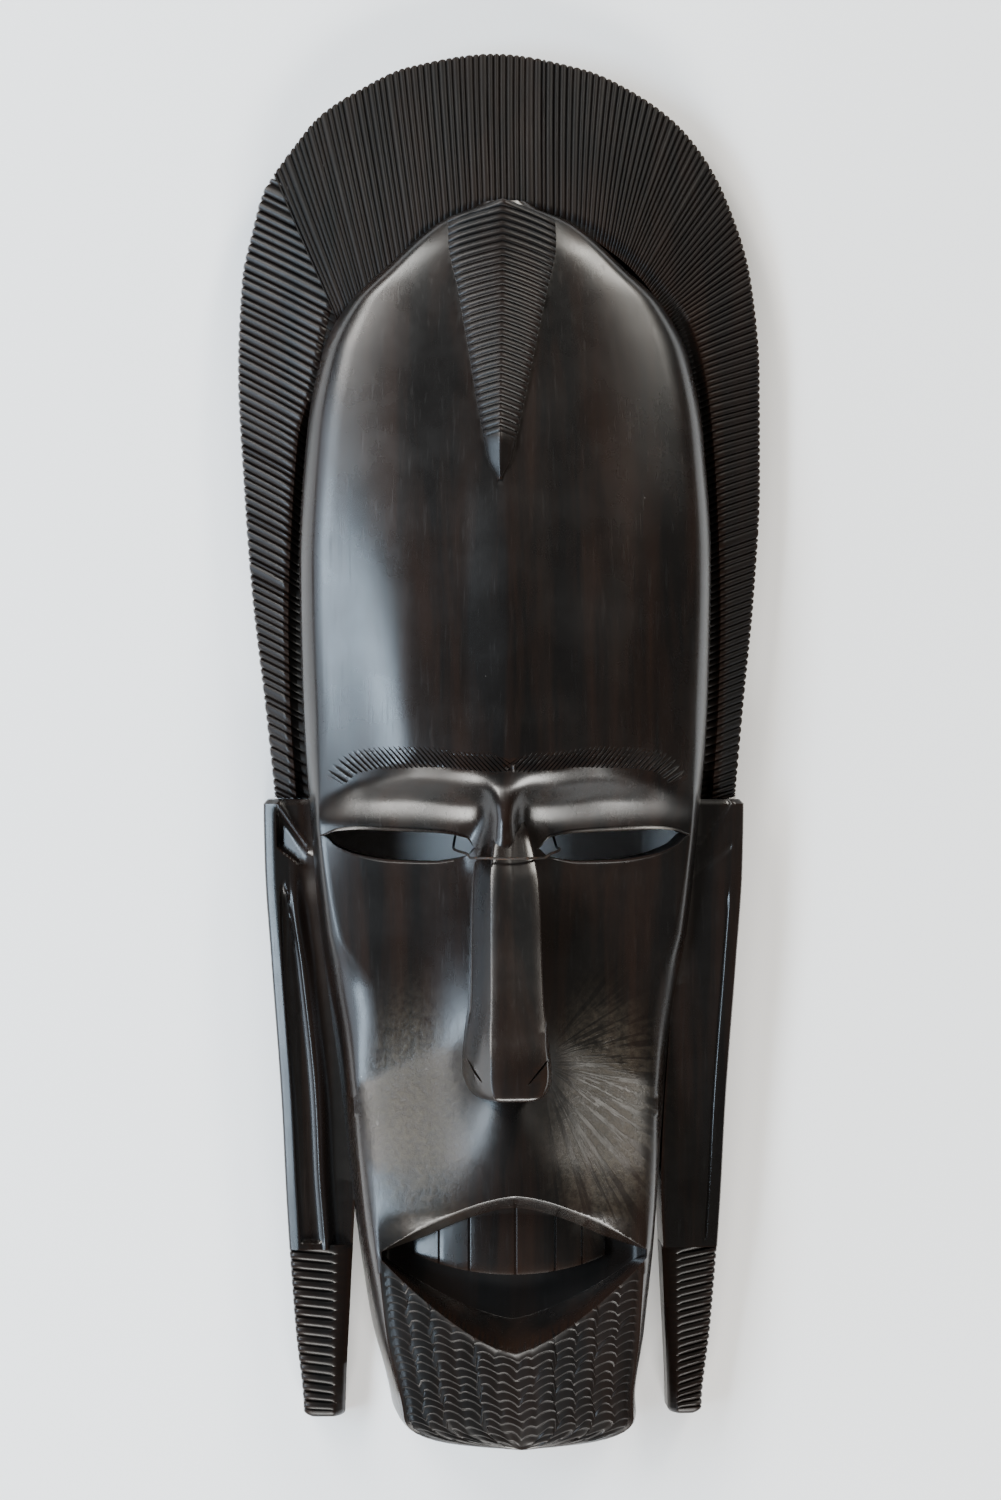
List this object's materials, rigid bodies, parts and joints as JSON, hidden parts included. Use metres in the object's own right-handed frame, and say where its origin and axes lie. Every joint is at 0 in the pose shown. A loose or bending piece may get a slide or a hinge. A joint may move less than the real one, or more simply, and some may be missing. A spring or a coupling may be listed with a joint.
{
  "type": "carved wooden mask",
  "caption": "Long carved dark-wood wall mask with comb-cut hair, high forehead, slit eyes, bared teeth, carved beard and long hanging ears, hollow behind.",
  "frame": {"origin": "middle of the mask's box at the plane of its flat back rim", "axes": "+Z out of the face, +Y towards the crown, +X to the right of someone looking at the face"},
  "size_m": [0.1884, 0.496, 0.0765],
  "materials": {
    "ebony": "hand-rubbed polish, nearly black",
    "wire": "dull dark annealed wire"
  },
  "bodies": {
    "root": {"mask": "ebony", "hanging_wire": "wire"}
  },
  "joints": []
}
